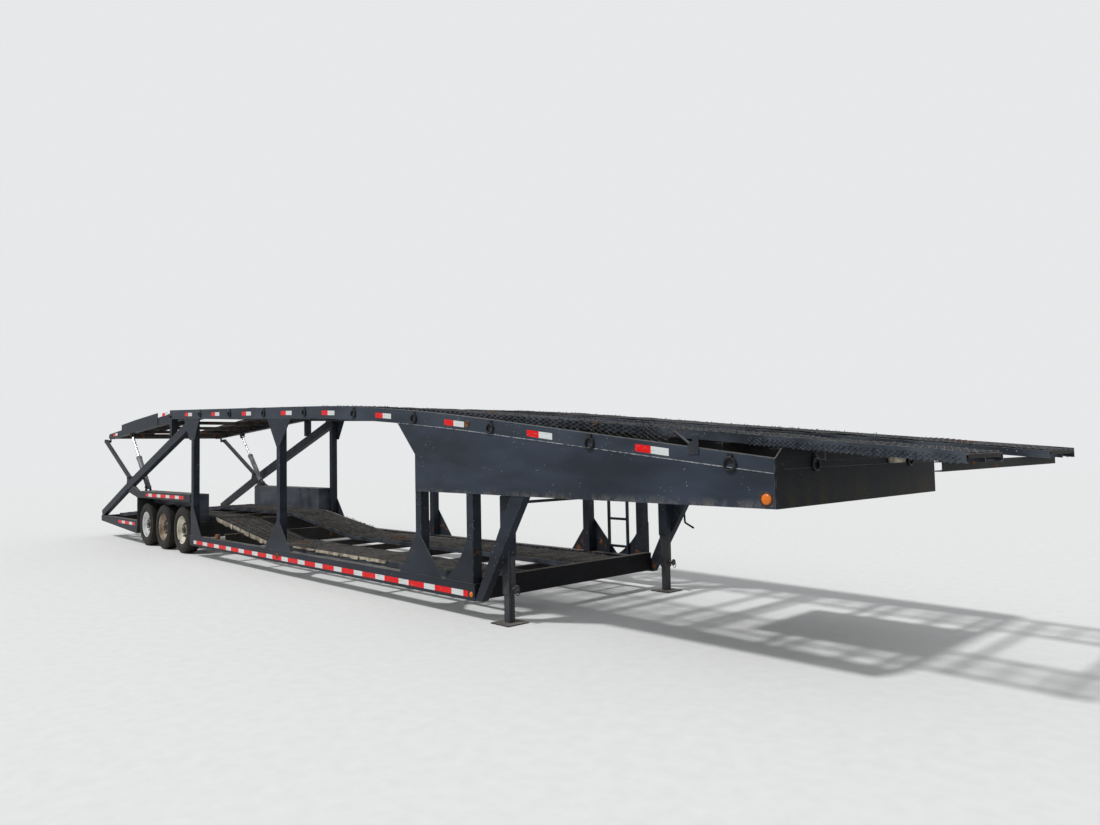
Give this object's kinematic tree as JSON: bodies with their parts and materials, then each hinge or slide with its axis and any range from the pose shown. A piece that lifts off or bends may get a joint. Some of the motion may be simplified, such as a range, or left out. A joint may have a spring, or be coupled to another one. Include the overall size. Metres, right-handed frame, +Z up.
{
  "type": "car transporter semi-trailer",
  "caption": "Two-deck car-carrying semi-trailer with a fifth-wheel gooseneck, three axles, landing legs, mesh runways and a tail deck lowered by hydraulic cylinders.",
  "frame": {"origin": "middle of the bounding box, on the ground", "axes": "+X to the front along the trailer, +Y to its left side, +Z up"},
  "size_m": [17.241, 2.7535, 2.449],
  "materials": {
    "frame_paint": "satin black paint, weathered",
    "deck_mesh": "rusted expanded metal",
    "dusty_mesh": "rusted and dusty expanded metal",
    "running_gear": "dirty black",
    "bare_steel": "greased and worn",
    "rod_chrome": "polished",
    "wheel_paint": "cream paint, dusty",
    "tyre": "dusty rubber"
  },
  "bodies": {
    "frame": {"upper_side_rails": "frame_paint", "lower_side_rails": "frame_paint", "side_posts": "frame_paint", "gusset_plates": "frame_paint", "gooseneck_side_plates": "frame_paint", "front_bulkhead": "frame_paint", "upper_crossmembers": "frame_paint", "lower_crossmembers": "frame_paint", "end_crossbeams": "frame_paint", "front_braces": "frame_paint", "rear_braces": "frame_paint", "pivot_brackets": "frame_paint", "runway_stringers": "frame_paint", "runway_rungs": "frame_paint", "fender_decks": "frame_paint", "wheel_box_panels": "frame_paint", "access_ladder": "frame_paint", "landing_legs": "frame_paint", "landing_leg_feet": "frame_paint", "landing_gear_crank": "frame_paint", "upper_deck_mesh": "deck_mesh", "lower_deck_mesh": "dusty_mesh", "axle_subframe": "running_gear", "spring_equalizers": "running_gear", "leaf_springs": "running_gear", "axles": "running_gear", "coupler_plate": "bare_steel", "kingpin": "bare_steel"},
    "wheel_1_left": {"wheel_1_left": "wheel_paint", "tyre_1_left": "tyre"},
    "wheel_1_right": {"wheel_1_right": "wheel_paint", "tyre_1_right": "tyre"},
    "wheel_2_left": {"wheel_2_left": "wheel_paint", "tyre_2_left": "tyre"},
    "wheel_2_right": {"wheel_2_right": "wheel_paint", "tyre_2_right": "tyre"},
    "wheel_3_left": {"wheel_3_left": "wheel_paint", "tyre_3_left": "tyre"},
    "wheel_3_right": {"wheel_3_right": "wheel_paint", "tyre_3_right": "tyre"},
    "tail_deck": {"tail_rails": "frame_paint", "tail_crossmembers": "frame_paint", "tail_stringers": "frame_paint", "tail_mesh": "deck_mesh", "tail_side_plates": "frame_paint"},
    "cylinder_barrels": {"lift_cylinder_barrels": "frame_paint"},
    "cylinder_rods": {"lift_cylinder_rods": "rod_chrome"},
    "prop_arm_left": {"prop_arm_left": "frame_paint"},
    "prop_arm_right": {"prop_arm_right": "frame_paint"}
  },
  "joints": [
    {"name": "wheel_1_left_spin", "type": "hinge", "parent": "frame", "child": "wheel_1_left", "pos_m": [-3.85, 1.1535, 0.391], "axis": [0, 1, 0], "continuous": true},
    {"name": "wheel_1_right_spin", "type": "hinge", "parent": "frame", "child": "wheel_1_right", "pos_m": [-3.85, -1.1535, 0.391], "axis": [0, 1, 0], "continuous": true},
    {"name": "wheel_2_left_spin", "type": "hinge", "parent": "frame", "child": "wheel_2_left", "pos_m": [-4.8, 1.1535, 0.391], "axis": [0, 1, 0], "continuous": true},
    {"name": "wheel_2_right_spin", "type": "hinge", "parent": "frame", "child": "wheel_2_right", "pos_m": [-4.8, -1.1535, 0.391], "axis": [0, 1, 0], "continuous": true},
    {"name": "wheel_3_left_spin", "type": "hinge", "parent": "frame", "child": "wheel_3_left", "pos_m": [-5.74, 1.1535, 0.391], "axis": [0, 1, 0], "continuous": true},
    {"name": "wheel_3_right_spin", "type": "hinge", "parent": "frame", "child": "wheel_3_right", "pos_m": [-5.74, -1.1535, 0.391], "axis": [0, 1, 0], "continuous": true},
    {"name": "tail_deck_hinge", "type": "hinge", "parent": "frame", "child": "tail_deck", "pos_m": [-4.29, 0, 2.33], "axis": [0, -1, 0], "range_deg": [0, 15]},
    {"name": "cylinder_swing", "type": "hinge", "parent": "frame", "child": "cylinder_barrels", "pos_m": [-6.12, 0, 1.07], "axis": [0, -1, 0], "range_deg": [0, 25.5]},
    {"name": "rod_slide", "type": "slide", "parent": "cylinder_barrels", "child": "cylinder_rods", "axis": [-0.7169, 0, 0.6972], "range_m": [-0.548, 0]},
    {"name": "prop_arm_left_pivot", "type": "hinge", "parent": "frame", "child": "prop_arm_left", "pos_m": [-6.8, 1.245, 1.24], "axis": [0, -1, 0], "range_deg": [0, 40]},
    {"name": "prop_arm_right_pivot", "type": "hinge", "parent": "frame", "child": "prop_arm_right", "pos_m": [-6.8, -1.245, 1.24], "axis": [0, -1, 0], "range_deg": [0, 40]}
  ],
  "couplings": [
    {"joint": "cylinder_swing", "follows": "tail_deck_hinge", "ratio": 1.695},
    {"joint": "rod_slide", "follows": "tail_deck_hinge", "m_per_rad": -2.0875}
  ]
}
